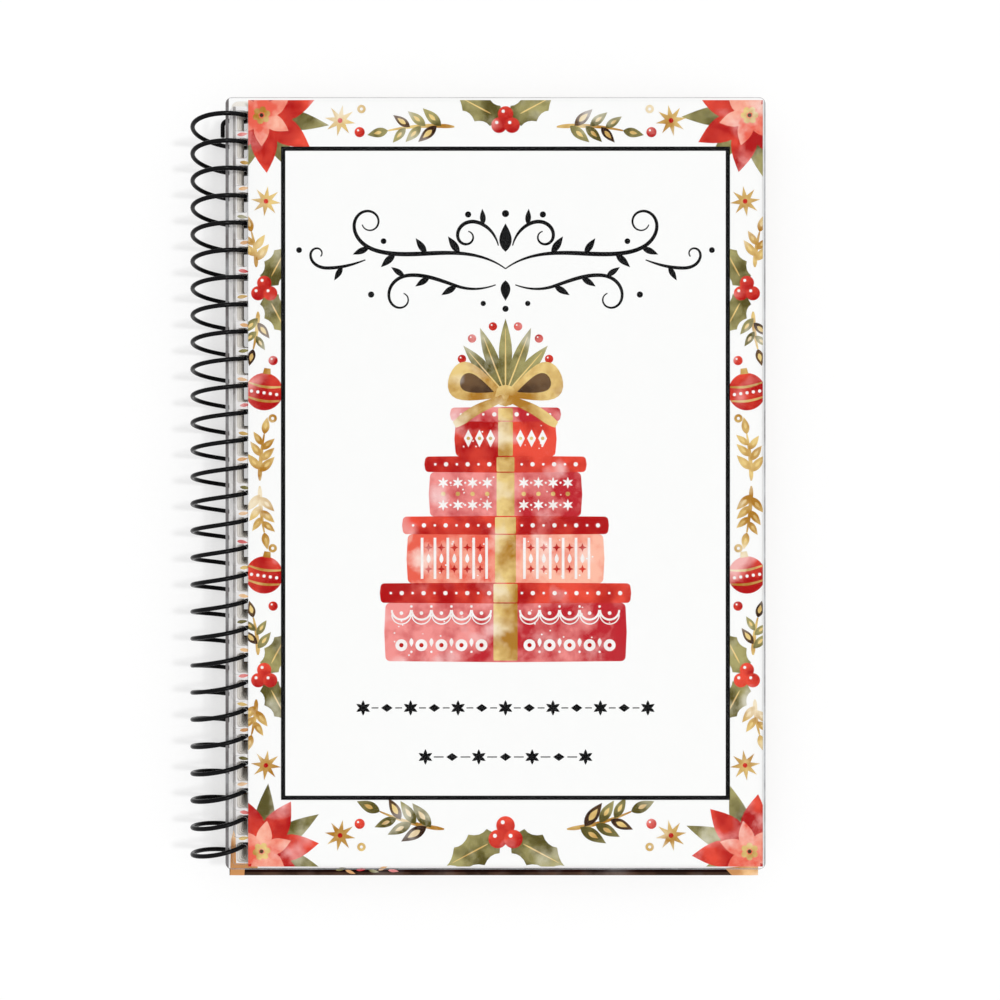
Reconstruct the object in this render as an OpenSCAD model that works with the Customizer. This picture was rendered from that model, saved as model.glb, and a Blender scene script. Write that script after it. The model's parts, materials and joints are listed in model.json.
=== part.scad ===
// Gift card book: a coil-bound booklet that lies on its back cover.
// Each leaf carries one clear pocket for a standard card.
// X runs across the book with the coil on the low side, Y up the page, Z out of the front cover.
// The origin is at the middle of the footprint, on the surface that the coil touches.

/* [Book] */
// Overall width, over the coil and the covers
book_w = 130; // [124:1:145]
// Overall height, over the covers and the title page
book_h = 175; // [150:1:200]
// Radius of the sheets' corners
corner_r = 1.5; // [0.5:0.1:4]
// How far the title page hangs out below the front cover
foot_drop = 1.7; // [0:0.1:2.5]

/* [Coil] */
// Diameter of the wire
wire_d = 1; // [0.8:0.05:1.4]
// Distance from one turn to the next
lead = 6.1; // [5.8:0.1:7.2]
// Room between the stack of sheets and the wire's centre line
coil_room = 1.75; // [1.6:0.05:3]
// How far the stack sits below the coil's axis
stack_drop = 0.7; // [0:0.1:0.8]
// Bend radius of the crimped wire ends
crimp_r = 1.3; // [1:0.1:1.6]
// Straight length of the crimped wire ends
crimp_l = 2.6; // [1.5:0.1:3]

/* [Punching] */
// Distance from the middle of a hole to the spine edge of its sheet
punch_edge = 3.3; // [3:0.1:4]
// Clearance round the wire in a hole
hole_clear = 0.25; // [0.2:0.05:0.5]
// Corner radius of a hole
hole_corner_r = 0.8; // [0.4:0.1:1]
// Least distance from the middle of the end holes to the ends of the sheets
row_margin = 3.4; // [3.4:0.1:8]
// How far the row of holes sits above the middle of the book
row_rise = 0.5; // [0:0.1:0.6]

/* [Front cover] */
// Thickness of the clear front sheet
clear_t = 0.3; // [0.2:0.05:0.5]
// Thickness of the printed card behind it
front_card_t = 0.4; // [0.25:0.05:0.8]
// Clear margin between the spine edge and the printed card
spine_margin = 5; // [4:0.1:9]
// Setback of the printed card from the clear sheet's other edges
front_card_setback = 0.5; // [0.2:0.1:2]
// Depth of the ink and glue between the card and the clear sheet
ink_depth = 0.12; // [0.1:0.01:0.2]

/* [Title page] */
// Thickness of the title page
title_t = 0.4; // [0.2:0.05:0.6]
// Setback of the title page from the front cover's fore edge
title_setback = 1.4; // [0:0.1:5]

/* [Back cover] */
// Thickness of the back board
back_t = 1; // [0.6:0.1:1.6]
// Distance from the coil's axis to the middle of the scored fold line
score_x = 9.8; // [9:0.1:14]
// Width of the scored fold line
score_w = 0.8; // [0.4:0.1:1.5]
// Depth of the scored fold line
score_depth = 0.3; // [0.1:0.05:0.4]

/* [Leaves] */
// Number of leaves, each with its pocket
leaf_count = 10; // [2:1:12]
// Thickness of a leaf
leaf_t = 0.3; // [0.2:0.05:0.5]
// Free space between one sheet and the next
sheet_gap = 0.12; // [0.1:0.01:0.3]
// Setback of the foremost leaf from the front cover's fore edge
leaf_fore_setback = 2.6; // [0:0.1:6]
// Setback of the leaves from the front cover's top and foot
leaf_end_setback = 0.3; // [0:0.1:0.6]

/* [Pockets] */
// Width of the card that a pocket holds
card_w = 85.6; // [80:0.1:90]
// Height of the card that a pocket holds
card_h = 54; // [50:0.5:60]
// Clearance beside and below the card
card_clear = 1.2; // [0.5:0.1:2]
// Width of the welded rim on the sides and the foot of a pocket
weld_w = 3; // [2:0.5:4]
// Thickness of the welded rim
weld_t = 0.15; // [0.1:0.05:0.3]
// Thickness of the clear film over the card
film_t = 0.12; // [0.1:0.02:0.25]
// Radius of the thumb notch in the pocket's mouth
notch_r = 11; // [6:0.5:15]
// Height of the middle of the pocket below the middle of the leaf
pocket_drop = 22; // [0:1:35]

/* [Hidden] */
function two_digits(i) = i < 10 ? str("0", i) : str(i);
function leaf_name(i) = str("leaf_", two_digits(i));
function pocket_name(i) = str("pocket_", two_digits(i));
overrun = 1;
round_fn = 32;
corner_steps = 4;

// The stack, from the back cover up to the clear front sheet
pocket_t = weld_t + film_t;
leaf_pitch = leaf_t + pocket_t + sheet_gap;
stack_t = back_t + leaf_count * leaf_pitch + sheet_gap + title_t + sheet_gap + front_card_t
    + ink_depth + clear_t;

// The coil: its axis runs along Y, at coil_x and coil_z
coil_r = stack_t / 2 + coil_room;
coil_x = -book_w / 2 + coil_r + wire_d / 2;
coil_z = coil_r + wire_d / 2;
coil_slope = atan(lead / (2 * PI * coil_r));
rings_per_turn = 16;
ring_sides = 6;
bend_steps = 5;

// Heights of the sheets' undersides
back_z = coil_z - stack_drop - stack_t / 2;
function leaf_z(i) = back_z + back_t + sheet_gap + (leaf_count - i) * leaf_pitch;
title_z = leaf_z(0);
front_card_z = title_z + title_t + sheet_gap;
clear_z = front_card_z + front_card_t + ink_depth;

// Ends of the sheets along Y, and the front cover's fore edge
cover_top = book_h / 2;
cover_foot = -book_h / 2 + foot_drop;
title_top = cover_top - foot_drop;
title_foot = -book_h / 2;
leaf_top = cover_top - leaf_end_setback;
leaf_foot = cover_foot + leaf_end_setback;
fore_edge = book_w / 2;

// The holes: each sheet hangs on the coil's circle, at an angle set by its height in the stack,
// and a hole is long enough for the wire in every position from lying flat to fully turned over
hole_count = floor((title_top - cover_foot - 2 * row_margin) / lead) + 1;
function mid_height(z, t) = z + t / 2 - coil_z;
function hang_angle(z, t) = asin(mid_height(z, t) / coil_r);
function hole_x(z, t) = coil_x + coil_r * cos(hang_angle(z, t));
function hole_y(k) = (k - (hole_count - 1) / 2) * lead + row_rise;
function hole_shift(z, t) = -lead * hang_angle(z, t) / 360;
function spine_edge(z, t) = hole_x(z, t) - punch_edge;
function wire_span(z, t) =
    (wire_d + t * abs(sin(hang_angle(z, t)))) / cos(hang_angle(z, t));
hole_w = max(wire_span(back_z, back_t), wire_span(clear_z, clear_t), wire_span(leaf_z(leaf_count), leaf_t))
    + 2 * hole_clear;
hole_l = lead / 2 + wire_d / cos(coil_slope) + 2 * hole_clear;
hole_round = min(hole_corner_r, hole_w / 2, hole_l / 2);

// The clear front sheet's spine edge, and the fore edge of the leaves, which all have one width
clear_spine = spine_edge(clear_z, clear_t);
leaf_w = fore_edge - leaf_fore_setback - spine_edge(leaf_z(1), leaf_t);
back_w = fore_edge - clear_spine;

// A pocket's outer size
pocket_w = card_w + 2 * (card_clear + weld_w);
pocket_h = card_h + card_clear + weld_w;

// A rectangle with round corners, from its low corner to its high corner
module rounded(low, high, r) {
    size = high - low;
    translate(low + [r, 0]) square([size.x - 2 * r, size.y]);
    translate(low + [0, r]) square([size.x, size.y - 2 * r]);
    for (x = [low.x + r, high.x - r], y = [low.y + r, high.y - r])
        translate([x, y]) circle(r = r, $fn = round_fn);
}

// The outline of one hole: straight sides and four round corners
hole_outline = [for (corner = [0:3], s = [0:corner_steps])
    let (a = 90 * (corner + s / corner_steps),
        side_x = corner == 0 || corner == 3 ? 1 : -1, side_y = corner < 2 ? 1 : -1)
    [side_x * (hole_w / 2 - hole_round), side_y * (hole_l / 2 - hole_round)] + hole_round * [cos(a), sin(a)]];

// The row of holes of a sheet whose underside is at z and whose thickness is t
module hole_row(z, t) {
    for (k = [0:hole_count - 1])
        translate([hole_x(z, t), hole_y(k) + hole_shift(z, t)]) polygon(hole_outline);
}

// A punched sheet from its spine edge to x_fore, between y_foot and y_top
module punched_sheet(z, t, x_fore, y_foot, y_top) {
    translate([0, 0, z])
        linear_extrude(t)
            difference() {
                rounded([spine_edge(z, t), y_foot], [x_fore, y_top], corner_r);
                hole_row(z, t);
            }
}

// The coil's centre line: one helix from the top hole to the bottom one, with w the angle wound.
// Both ends stop under the back cover and are crimped back along the coil.
helix_turn = 360 * hole_count;
function coil_angle(w) = w - 90;
function radial(w) = [cos(coil_angle(w)), 0, sin(coil_angle(w))];
function helix_point(w) = [coil_x, hole_y(hole_count - 1) + lead / 2 - lead * w / 360, coil_z]
    + coil_r * radial(w);
function helix_dir(w) = [-sin(coil_angle(w)) * cos(coil_slope), -sin(coil_slope),
    cos(coil_angle(w)) * cos(coil_slope)];
crimp_turn = 90 + coil_slope;
function crimp_dir(turn) = [cos(turn), sin(turn), 0];
function crimp_point(start, first, turn) = start
    + crimp_r * [sin(turn) - sin(first), cos(first) - cos(turn), 0];

// Stations of a crimped end, from the helix outwards: each is [point, direction]
function crimp(start, first) = concat(
    [for (s = [1:bend_steps]) let (turn = first + crimp_turn * s / bend_steps)
        [crimp_point(start, first, turn), crimp_dir(turn)]],
    [[crimp_point(start, first, first + crimp_turn) + crimp_l * crimp_dir(first + crimp_turn),
        crimp_dir(first + crimp_turn)]]);
top_crimp = crimp(helix_point(0), 180 - coil_slope);
foot_crimp = crimp(helix_point(helix_turn), -coil_slope);

// Stations along the whole wire: each is [point, direction, radial direction]
wire_stations = concat(
    [for (s = [len(top_crimp) - 1:-1:0]) [top_crimp[s][0], -top_crimp[s][1], radial(0)]],
    [for (s = [0:hole_count * rings_per_turn]) let (w = 360 * s / rings_per_turn)
        [helix_point(w), helix_dir(w), radial(w)]],
    [for (s = foot_crimp) [s[0], s[1], radial(helix_turn)]]);
last_ring = len(wire_stations) - 1;
function ring_point(s, a) = s[0] + wire_d / 2 * (cos(a) * s[2] + sin(a) * cross(s[1], s[2]));

// Least gap from the wire to itself, measured between stations half a turn apart or more
wire_gap = min([for (i = [0:last_ring - rings_per_turn / 2])
    min([for (j = [i + rings_per_turn / 2:min(last_ring, i + 2 * rings_per_turn)])
        norm(wire_stations[i][0] - wire_stations[j][0])])]) - wire_d;
echo(least_gap_between_turns = wire_gap, holes = hole_count, coil_r = coil_r, hole_w = hole_w, hole_l = hole_l);

module coil() {
    side = 360 / ring_sides;
    color([0.06, 0.06, 0.07])
        polyhedron(
            points = [for (s = wire_stations, j = [0:ring_sides - 1]) ring_point(s, j * side)],
            faces = concat(
                [for (i = [0:last_ring - 1], j = [0:ring_sides - 1])
                    let (next = (j + 1) % ring_sides, low = i * ring_sides, high = low + ring_sides)
                    each [[low + j, low + next, high + next], [low + j, high + next, high + j]]],
                [for (j = [1:ring_sides - 2]) [0, j + 1, j]],
                [for (j = [1:ring_sides - 2]) let (low = last_ring * ring_sides) [low, low + j, low + j + 1]]));
}

module back_cover() {
    color([0.78, 0.62, 0.42])
        difference() {
            punched_sheet(back_z, back_t, spine_edge(back_z, back_t) + back_w, cover_foot, cover_top);
            translate([coil_x + score_x - score_w / 2, cover_foot - overrun, back_z - overrun])
                cube([score_w, cover_top - cover_foot + 2 * overrun, score_depth + overrun]);
        }
}

module clear_sheet() {
    color([0.85, 0.92, 0.96, 0.35])
        punched_sheet(clear_z, clear_t, fore_edge, cover_foot, cover_top);
}

module cover_card() {
    color([0.97, 0.96, 0.93])
        translate([0, 0, front_card_z])
            linear_extrude(front_card_t)
                rounded([clear_spine + spine_margin, cover_foot + front_card_setback],
                    [fore_edge - front_card_setback, cover_top - front_card_setback], corner_r);
}

module title_page() {
    color([0.93, 0.88, 0.79])
        punched_sheet(title_z, title_t, fore_edge - title_setback, title_foot, title_top);
}

module leaf(i) {
    color([0.95, 0.92, 0.86])
        punched_sheet(leaf_z(i), leaf_t, spine_edge(leaf_z(i), leaf_t) + leaf_w, leaf_foot, leaf_top);
}

// The pocket lies on the front of leaf i: a rim welded down on three sides, with a film over it
module pocket(i) {
    leaf_spine = spine_edge(leaf_z(i), leaf_t);
    x_mid = (leaf_spine + spine_margin + leaf_spine + leaf_w) / 2;
    y_mid = (leaf_foot + leaf_top) / 2 - pocket_drop;
    color([0.80, 0.90, 0.95, 0.4])
        translate([x_mid, y_mid, leaf_z(i) + leaf_t]) {
            linear_extrude(weld_t)
                difference() {
                    rounded([-pocket_w, -pocket_h] / 2, [pocket_w, pocket_h] / 2, corner_r);
                    translate([weld_w - pocket_w / 2, weld_w - pocket_h / 2])
                        square([pocket_w - 2 * weld_w, pocket_h]);
                }
            translate([0, 0, weld_t])
                linear_extrude(film_t)
                    difference() {
                        rounded([-pocket_w, -pocket_h] / 2, [pocket_w, pocket_h] / 2, corner_r);
                        translate([0, pocket_h / 2]) circle(r = notch_r, $fn = round_fn);
                    }
        }
}

coil();
back_cover();
clear_sheet();
cover_card();
title_page();
for (i = [1:leaf_count])
    leaf(i);
for (i = [1:leaf_count])
    pocket(i);
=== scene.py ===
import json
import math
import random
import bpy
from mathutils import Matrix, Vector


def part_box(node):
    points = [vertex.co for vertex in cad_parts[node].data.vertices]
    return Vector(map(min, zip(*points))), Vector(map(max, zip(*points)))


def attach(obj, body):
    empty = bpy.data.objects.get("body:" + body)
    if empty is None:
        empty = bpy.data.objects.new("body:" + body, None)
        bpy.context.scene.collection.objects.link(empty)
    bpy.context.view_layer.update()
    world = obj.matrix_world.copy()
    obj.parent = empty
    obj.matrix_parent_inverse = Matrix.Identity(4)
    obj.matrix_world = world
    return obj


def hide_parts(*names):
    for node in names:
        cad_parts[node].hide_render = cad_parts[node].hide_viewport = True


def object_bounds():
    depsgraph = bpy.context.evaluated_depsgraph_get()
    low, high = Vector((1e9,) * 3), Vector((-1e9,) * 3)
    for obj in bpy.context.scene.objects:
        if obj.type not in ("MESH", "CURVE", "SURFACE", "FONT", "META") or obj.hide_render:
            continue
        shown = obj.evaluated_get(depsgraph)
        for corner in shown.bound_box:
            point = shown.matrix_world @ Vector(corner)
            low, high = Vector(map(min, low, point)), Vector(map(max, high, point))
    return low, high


bl_info = {
    "name": "Gift card book",
    "version": (1, 0, 0),
    "blender": (4, 5, 0),
    "location": "View3D > Sidebar > Gift card book",
    "description": "Finishes a coil-bound gift card book: wire, clear sheets, cards, pockets and board",
    "category": "Add Mesh",
}

import bmesh
import bpy
from bpy.props import FloatProperty, FloatVectorProperty, IntProperty, PointerProperty
from mathutils import Vector

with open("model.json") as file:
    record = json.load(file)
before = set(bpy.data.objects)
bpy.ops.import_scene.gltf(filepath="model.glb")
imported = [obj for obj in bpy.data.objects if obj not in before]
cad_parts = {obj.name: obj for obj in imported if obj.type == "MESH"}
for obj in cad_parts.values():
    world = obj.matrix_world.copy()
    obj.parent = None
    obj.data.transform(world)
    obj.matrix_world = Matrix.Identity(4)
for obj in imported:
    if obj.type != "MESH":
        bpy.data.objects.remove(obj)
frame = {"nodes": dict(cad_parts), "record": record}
NODES = frame["nodes"]
CAD_BOX = [list(corner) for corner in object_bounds()]
BODY_OF = {node: body for body, nodes in frame["record"]["behaviour"]["bodies"].items() for node in nodes}
LEAVES = sorted(name for name in NODES if name.startswith("leaf_"))
POCKETS = sorted(name for name in NODES if name.startswith("pocket_"))
MM = 0.001

# What clear film lets through, how rough its mirror is, and an index that keeps its mirroring faint
CLEARNESS = (0.996, 0.997, 0.997, 1)
FILM_ROUGHNESS = 0.06
FILM_IOR = 1.12

# Ink lies in thin layers, each on top of the last, in the depth between a card and its clear sheet
LAYER_STEP = 0.012 * MM
LAYER_THICKNESS = 0.010 * MM
# Shapes of one layer that cross each other lie at slightly different heights, taken in turn
SHAPE_STEP = 0.0014 * MM
SHAPE_STEPS = 8


def screen_colour(red, green, blue):
    """The linear colour of a screen colour given as 0 to 255."""
    def linear(value):
        share = value / 255
        return share / 12.92 if share <= 0.04045 else ((share + 0.055) / 1.055) ** 2.4
    return (linear(red), linear(green), linear(blue))


def length(label, words, default):
    return FloatProperty(name=label, description=words, default=default, min=0, unit="LENGTH", precision=5)


def colour(label, words, red, green, blue):
    return FloatVectorProperty(
        name=label, description=words, default=screen_colour(red, green, blue), subtype="COLOR", min=0, max=1
    )


def factor(label, words, default, most=1.0):
    return FloatProperty(name=label, description=words, default=default, min=0, max=most, subtype="FACTOR")


def angle(label, words, degrees):
    return FloatProperty(name=label, description=words, default=math.radians(degrees), subtype="ANGLE")


# Settings


class CoilSettings(bpy.types.PropertyGroup):
    wire_d: length("Wire diameter", "Diameter of the coated wire", 1.0 * MM)
    lead: length("Lead", "Distance from one turn to the next", 6.1 * MM)
    crimp_r: length("Crimp radius", "Bend radius of the crimped ends", 1.3 * MM)
    crimp_l: length("Crimp length", "Straight length of the crimped ends", 2.6 * MM)
    turns: IntProperty(name="Turns", description="Turns of the coil", default=28, min=2)
    rings: IntProperty(name="Rings", description="Rings of the mesh in each turn", default=44, min=8)
    sides: IntProperty(name="Sides", description="Sides of the round wire", default=16, min=6)
    coating: colour("Coating", "Colour of the wire's coating", 6, 6, 8)
    scuffs: colour("Scuffs", "Colour of the faint scuffs in the coating", 24, 24, 27)


class FilmSettings(bpy.types.PropertyGroup):
    # The grey line along the cut edges is painted shade, widest and darkest at the spine, where it stands in
    # for the shadow beside the stacked sheets; the side faces take the edge colour as their tint
    edge_line: length("Cut edge", "Width of the grey line along a cut edge", 0.36 * MM)
    edge_shade_share: factor("Edge strength", "How much the cut edge shows", 0.72)
    spine_shade_width: factor("Spine edge width", "Width of the line at the spine, in cut edges", 1.8, 3.0)
    spine_shade_strength: factor("Spine edge strength", "How much more the line at the spine shows", 1.35, 2.0)
    edge_colour: colour("Edge colour", "Colour of the cut edges", 106, 101, 101)
    weld_colour: colour("Weld colour", "Colour of the pressed weld", 236, 242, 246)
    weld_rim: length("Weld rim", "Width of the welded rim of a pocket", 3.0 * MM)
    bar_pitch: length("Weld pitch", "Distance between the pressed bars of the weld", 1.1 * MM)
    bar_width: length("Bar width", "Width of a pressed bar", 0.35 * MM)
    bar_length: length("Bar length", "Length of a pressed bar", 2.0 * MM)
    bar_height: length("Bar height", "Height of a pressed bar above the film", 0.03 * MM)


class InkSettings(bpy.types.PropertyGroup):
    black: colour("Black ink", "Ink of the frame line and the flourish", 3, 3, 4)
    frame_line: length("Frame line", "Width of the black frame line", 0.96 * MM)


# What each coloured ink prints, its thin wash and its full wash
WASHES = {
    "red": ("the red ink", (236, 78, 58), (178, 8, 10)),
    "pink": ("the pink ink", (244, 150, 146), (192, 34, 44)),
    "salmon": ("the salmon ink", (254, 190, 166), (236, 98, 78)),
    "gold": ("the gold ink", (236, 206, 134), (176, 122, 36)),
    "olive": ("the olive ink", (172, 164, 108), (88, 80, 32)),
    "brown": ("the brown ink", (112, 84, 56), (50, 28, 14)),
    "tan": ("the corner pieces", (250, 204, 150), (206, 146, 92)),
    "umber": ("the title page's edge band", (84, 60, 46), (46, 30, 20)),
    "maroon": ("the title page's edge line", (42, 14, 8), (22, 4, 2)),
    # The grey wash prints a painted shade line near the spine, for the shade along the edges of the stacked
    # sheets
    "grey": ("the title page's spine line", (188, 184, 182), (142, 137, 135)),
}
for wash_name, (printed_part, thin, full) in WASHES.items():
    InkSettings.__annotations__.update({
        wash_name + "_light": colour("Light " + wash_name, "Thin wash of " + printed_part, *thin),
        wash_name + "_deep": colour("Deep " + wash_name, "Full wash of " + printed_part, *full),
    })


class PaperSettings(bpy.types.PropertyGroup):
    cover: colour("Front card", "Colour of the printed front card", 252, 252, 251)
    cover_fibre: colour("Front card fibre", "Colour of the fibres in the front card", 238, 238, 239)
    title: colour("Title page", "Colour of the title page", 250, 248, 247)
    title_fibre: colour("Title page fibre", "Colour of the fibres in the title page", 214, 206, 204)
    leaf: colour("Leaves", "Colour of the leaves", 247, 243, 236)
    leaf_fibre: colour("Leaf fibre", "Colour of the fibres in the leaves", 222, 212, 196)
    board: colour("Back board", "Colour of the back board", 182, 142, 96)
    board_fibre: colour("Board fibre", "Colour of the fibres in the back board", 128, 90, 54)


class StageSettings(bpy.types.PropertyGroup):
    camera_height: length("Camera height", "Height of the camera above the floor", 248 * MM)
    camera_right: length("Camera right", "Distance of the camera right of the book's middle", 5.4 * MM)
    camera_down: length("Camera down", "Distance of the camera below the book's middle", 2.9 * MM)
    lens: FloatProperty(name="Lens", description="Focal length", default=38.03, min=10, unit="CAMERA")
    ambient: factor("Ambient light", "Light that comes from all round, as the share of white", 0.79, 2.0)
    key: factor("Key light", "Light that comes from the sun lamp, as the share of white", 0.25, 2.0)
    sun_elevation: angle("Sun elevation", "Height of the key light", 54)
    sun_heading: angle("Sun heading", "Side that the key light comes from", 8)
    sun_size: angle("Sun size", "Softness of the key light", 6)
    floor: factor("Floor albedo", "Share of the light that the floor sends back", 0.45)
    floor_size: length("Floor size", "Width of the floor", 3.0)


# Mesh making


def add_piece(name, mesh, body, material):
    """Links a mesh as a piece that rides on a body and takes its finish from a slot."""
    piece = bpy.data.objects.new(name, mesh)
    bpy.context.scene.collection.objects.link(piece)
    mesh.materials.append(material)
    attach(piece, body)
    return piece


def tube_mesh(name, stations, radius, sides):
    """A closed round tube along stations of (point, direction, side direction), with eased ends."""
    ease, end_share = 0.25 * radius, 0.72
    rings = []
    for number, (point, along, side) in enumerate(stations):
        up = along.cross(side)
        steps = [(0, 1.0)]
        if number == 0:
            steps = [(0, end_share), (ease, 1.0)]
        if number == len(stations) - 1:
            steps = [(-ease, 1.0), (0, end_share)]
        for shift, share in steps:
            rings.append([
                point + along * shift + (side * math.cos(a) + up * math.sin(a)) * radius * share
                for a in (math.tau * s / sides for s in range(sides))
            ])
    verts = [corner for ring in rings for corner in ring]
    faces = []
    for ring in range(len(rings) - 1):
        for s in range(sides):
            low, high, step = ring * sides, (ring + 1) * sides, (s + 1) % sides
            faces.append((low + s, low + step, high + step, high + s))
    faces.append(tuple(reversed(range(sides))))
    faces.append(tuple(range(len(verts) - sides, len(verts))))
    mesh = bpy.data.meshes.new(name)
    mesh.from_pydata(verts, [], faces)
    mesh.polygons.foreach_set("use_smooth", [True] * (len(faces) - 2) + [False] * 2)
    mesh.update()
    return mesh


class Shape:
    """A flat printed shape in millimetres: an outline, or points with faces, its tone and its rim.

    The tone is a number, or a function of the place.
    """

    def __init__(self, points, faces=None, tone=0.5, rim=0.0):
        self.points = points
        self.faces = faces or [list(range(len(points)))]
        self.tone = tone
        self.rim = rim

    def tone_at(self, x, y):
        return self.tone(x, y) if callable(self.tone) else self.tone


def ink_mesh(name, shapes, corner, bottom, thickness, clip=None):
    """Thin closed solids of printed shapes, whose millimetres count from corner, cut to the clip box."""
    mesh_data = bmesh.new()
    rim_layer = mesh_data.verts.layers.float.new("rim")
    tone_layer = mesh_data.verts.layers.float.new("tone")
    for number, shape in enumerate(shapes):
        top = bottom + thickness + number % SHAPE_STEPS * SHAPE_STEP
        outer = [mesh_data.verts.new((corner[0] + x * MM, corner[1] + y * MM, top)) for x, y in shape.points]
        made = [mesh_data.faces.new([outer[i] for i in face]) for face in shape.faces]
        for face in made:
            face.normal_update()
            if face.normal.z < 0:
                face.normal_flip()
        if shape.rim:
            bmesh.ops.inset_region(mesh_data, faces=made, thickness=shape.rim * MM, use_even_offset=False)
        inner = {vert for face in made for vert in face.verts}
        for vert in inner.union(outer):
            vert[tone_layer] = shape.tone_at((vert.co.x - corner[0]) / MM, (vert.co.y - corner[1]) / MM)
            vert[rim_layer] = 0.0 if vert in inner else 1.0
    if clip:
        low, high = clip
        for place, outward in ((low, (-1, 0, 0)), (high, (1, 0, 0)), (low, (0, -1, 0)), (high, (0, 1, 0))):
            bmesh.ops.bisect_plane(
                mesh_data, geom=mesh_data.verts[:] + mesh_data.edges[:] + mesh_data.faces[:],
                plane_co=place, plane_no=outward, clear_outer=True,
            )
    made = bmesh.ops.extrude_face_region(mesh_data, geom=mesh_data.faces[:], use_keep_orig=True)
    for item in made["geom"]:
        if isinstance(item, bmesh.types.BMVert):
            item.co.z = bottom
    bmesh.ops.recalc_face_normals(mesh_data, faces=mesh_data.faces[:])
    mesh = bpy.data.meshes.new(name)
    mesh_data.to_mesh(mesh)
    mesh_data.free()
    return mesh


def flat_size(low, high):
    """Width and height in millimetres of a box that lies flat."""
    return (high.x - low.x) / MM, (high.y - low.y) / MM


class Print:
    """The printed front of a card: it turns shapes into pieces that lie on it, layer by layer."""

    def __init__(self, stem, node, slot):
        self.stem, self.node, self.slot = stem, node, slot
        self.low, self.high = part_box(node)
        self.width, self.height = flat_size(self.low, self.high)

    def lay(self, name, layer, shapes, material):
        bottom = self.high.z + layer * LAYER_STEP + (LAYER_STEP - LAYER_THICKNESS)
        mesh = ink_mesh(self.stem + name, shapes, self.low, bottom, LAYER_THICKNESS, (self.low, self.high))
        add_piece(self.stem + name, mesh, BODY_OF[self.node], material)


# Outlines, in millimetres


def away(x, y, reach, degrees):
    """The point at a distance from a place."""
    a = math.radians(degrees)
    return x + reach * math.cos(a), y + reach * math.sin(a)


def turned(points, x=0.0, y=0.0, angle=0.0, scale=1.0):
    """The points scaled, turned by an angle in degrees and moved."""
    cos, sin = math.cos(math.radians(angle)) * scale, math.sin(math.radians(angle)) * scale
    return [(x + px * cos - py * sin, y + px * sin + py * cos) for px, py in points]


def mirrored(points):
    """The points mirrored about the upright line through the origin."""
    return [(-x, y) for x, y in points][::-1]


def both_sides(upper):
    """An outline whose lower side mirrors its upper side about X."""
    return upper + [(x, -y) for x, y in upper[-2:0:-1]]


def arc(x, y, radius, start, end, steps):
    return [away(x, y, radius, start + (end - start) * s / steps) for s in range(steps + 1)]


def disc(x, y, radius, steps=20):
    return arc(x, y, radius, 0, 360, steps)[:-1]


def dot(x, y, radius, steps, tone=0.5):
    return Shape(disc(x, y, radius, steps), tone=tone)


def box(x0, y0, x1, y1):
    return [(x0, y0), (x1, y0), (x1, y1), (x0, y1)]


def hoop(outer, inner, tone=0.5):
    """The flat band between two outlines that have as many points each."""
    count = len(outer)
    faces = [[s, (s + 1) % count, count + (s + 1) % count, count + s] for s in range(count)]
    return Shape(outer + inner, faces, tone)


def box_line(x0, y0, x1, y1, width):
    """A rectangular line of a given width, drawn inward from the box."""
    return hoop(box(x0, y0, x1, y1), box(x0 + width, y0 + width, x1 - width, y1 - width))


def petal(size, width, early=0.8):
    """A pointed leaf from the origin along X, widest before its middle if early is under 1."""
    steps = 9
    return both_sides([
        (size * s / steps, width / 2 * math.sin(math.pi * (s / steps) ** early)) for s in range(steps + 1)
    ])


def lobe(size, width):
    """A petal from the origin along X with a round end."""
    steps = 11
    # The largest value of the profile, so that the lobe is as wide as asked
    widest = 0.635
    shares = [math.sin(math.pi / 2 * s / steps) for s in range(steps + 1)]
    return both_sides([
        (size * t, width / 2 * t ** 0.9 * math.sqrt(max(1 - t ** 4, 0)) / widest) for t in shares
    ])


def holly(size, width):
    """A holly leaf from the origin along X: spikes with hollow sides between them."""
    spikes, steps = 3, 4
    tips = [(0.0, 0.0)]
    for s in range(spikes):
        share = (s + 0.75) / (spikes + 0.55)
        tips.append((size * share, width / 2 * math.sin(math.pi * (0.12 + 0.8 * share))))
    tips.append((size, 0.0))
    upper = []
    for (x0, y0), (x1, y1) in zip(tips, tips[1:]):
        middle = ((x0 + x1) / 2, min(y0, y1) * 0.55 + 0.05 * width)
        for s in range(steps):
            t = s / steps
            upper.append((
                (1 - t) ** 2 * x0 + 2 * t * (1 - t) * middle[0] + t * t * x1,
                (1 - t) ** 2 * y0 + 2 * t * (1 - t) * middle[1] + t * t * y1,
            ))
    return both_sides(upper + tips[-1:])


def star(points, outer, inner):
    """A pointed star about the origin."""
    return [away(0, 0, inner if s % 2 else outer, 90 + 180 * s / points) for s in range(points * 2)]


def diamond(x, y, half_width, half_height):
    return Shape([(x + half_width, y), (x, y + half_height), (x - half_width, y), (x, y - half_height)])


def floret(x, y, size, width):
    """Six small leaves about a place."""
    return [Shape(turned(petal(size, width), x, y, a)) for a in range(30, 390, 60)]


def sweep_path(start, heading, bends, pace=0.5):
    """A curve of parts (length, first bend, last bend), whose bends are in degrees a millimetre."""
    x, y = start
    path = [(x, y)]
    for size, first, last in bends:
        steps = max(int(size / pace), 2)
        for s in range(steps):
            heading += size / steps * (first + (last - first) * (s + 0.5) / steps)
            x += size / steps * math.cos(math.radians(heading))
            y += size / steps * math.sin(math.radians(heading))
            path.append((x, y))
    return path


def place_on(path, step):
    """A point of a path, and the direction of the path there in degrees."""
    (x0, y0), (x1, y1) = path[step], path[step + 1]
    return x0, y0, math.degrees(math.atan2(y1 - y0, x1 - x0))


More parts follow.
